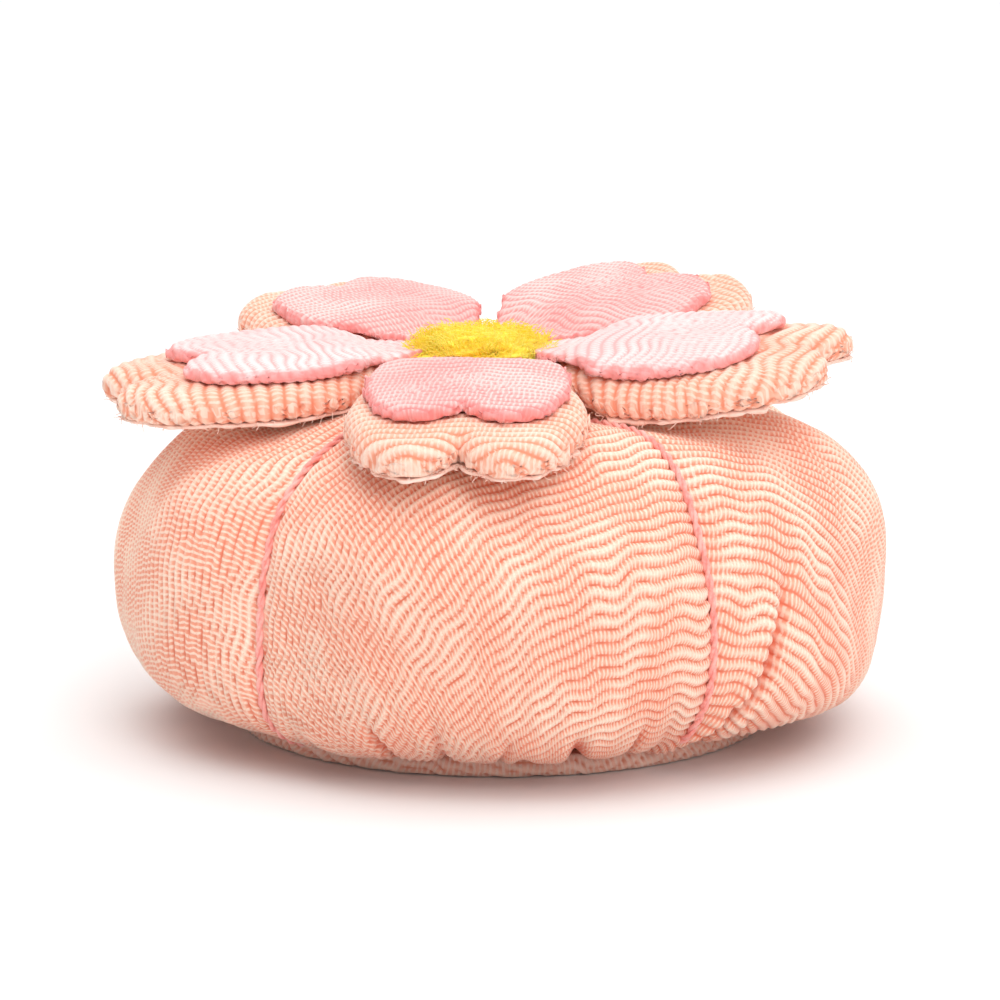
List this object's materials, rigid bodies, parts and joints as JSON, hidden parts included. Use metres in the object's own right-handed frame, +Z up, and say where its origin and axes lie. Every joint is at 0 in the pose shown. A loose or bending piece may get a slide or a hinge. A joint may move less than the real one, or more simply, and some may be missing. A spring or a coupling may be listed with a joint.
{
  "type": "pin cushion",
  "caption": "Round stuffed crepe pin cushion drawn into lobes by floss, on a cloth-covered base disc, with a double-petalled blossom and wool tuft on top.",
  "frame": {"origin": "centre of the flat underside of the base disc, on the body's axis", "axes": "+Z up out of the blossom; -Y towards the front lobe and the front petal; +X to the right as seen from the front"},
  "size_m": [0.0716, 0.0709, 0.0395],
  "materials": {
    "body_crepe": "crepe, matte",
    "base_crepe": "crepe, matte",
    "petal_crepe": "crepe, matte",
    "pink_crepe": "crepe, matte",
    "backing_cloth": "plain weave, matte",
    "pink_floss": "twisted floss, satin",
    "sewing_thread": "cotton thread, matte",
    "yellow_wool": "wool, matte",
    "wadding": "polyester wadding, matte",
    "card": "matte"
  },
  "bodies": {
    "cushion": {"base_board": "card", "base_cover": "base_crepe", "body_cover": "body_crepe", "body_stuffing": "wadding", "gathering_thread": "sewing_thread", "centre_tie": "sewing_thread", "wrap_thread_1": "pink_floss", "wrap_thread_2": "pink_floss", "wrap_thread_3": "pink_floss", "wrap_thread_4": "pink_floss", "wrap_thread_5": "pink_floss", "flower_stitches": "sewing_thread", "flower_tuft": "yellow_wool"},
    "petal_front": {"petal_backing_front": "backing_cloth", "petal_card_front": "card", "petal_wadding_front": "wadding", "petal_cover_front": "petal_crepe", "inner_petal_cover_front": "pink_crepe", "inner_petal_wadding_front": "wadding"},
    "petal_right": {"petal_backing_right": "backing_cloth", "petal_card_right": "card", "petal_wadding_right": "wadding", "petal_cover_right": "petal_crepe", "inner_petal_cover_right": "pink_crepe", "inner_petal_wadding_right": "wadding"},
    "petal_back_right": {"petal_backing_back_right": "backing_cloth", "petal_card_back_right": "card", "petal_wadding_back_right": "wadding", "petal_cover_back_right": "petal_crepe", "inner_petal_cover_back_right": "pink_crepe", "inner_petal_wadding_back_right": "wadding"},
    "petal_back_left": {"petal_backing_back_left": "backing_cloth", "petal_card_back_left": "card", "petal_wadding_back_left": "wadding", "petal_cover_back_left": "petal_crepe", "inner_petal_cover_back_left": "pink_crepe", "inner_petal_wadding_back_left": "wadding"},
    "petal_left": {"petal_backing_left": "backing_cloth", "petal_card_left": "card", "petal_wadding_left": "wadding", "petal_cover_left": "petal_crepe", "inner_petal_cover_left": "pink_crepe", "inner_petal_wadding_left": "wadding"}
  },
  "joints": [
    {"name": "petal_front_lift", "type": "hinge", "parent": "cushion", "child": "petal_front", "pos_m": [-0.0019, -0.0056, 0.032], "axis": [-1, 0, 0], "range_deg": [0, 12], "stiffness_Nm_per_rad": 0.012},
    {"name": "petal_right_lift", "type": "hinge", "parent": "cushion", "child": "petal_right", "pos_m": [0.00343, -0.00173, 0.032], "axis": [-0.309, -0.9511, 0], "range_deg": [0, 12], "stiffness_Nm_per_rad": 0.012},
    {"name": "petal_back_right_lift", "type": "hinge", "parent": "cushion", "child": "petal_back_right", "pos_m": [0.00139, 0.00453, 0.032], "axis": [0.809, -0.5878, 0], "range_deg": [0, 12], "stiffness_Nm_per_rad": 0.012},
    {"name": "petal_back_left_lift", "type": "hinge", "parent": "cushion", "child": "petal_back_left", "pos_m": [-0.00519, 0.00453, 0.032], "axis": [0.809, 0.5878, 0], "range_deg": [0, 12], "stiffness_Nm_per_rad": 0.012},
    {"name": "petal_left_lift", "type": "hinge", "parent": "cushion", "child": "petal_left", "pos_m": [-0.00723, -0.00173, 0.032], "axis": [-0.309, 0.9511, 0], "range_deg": [0, 12], "stiffness_Nm_per_rad": 0.012}
  ]
}
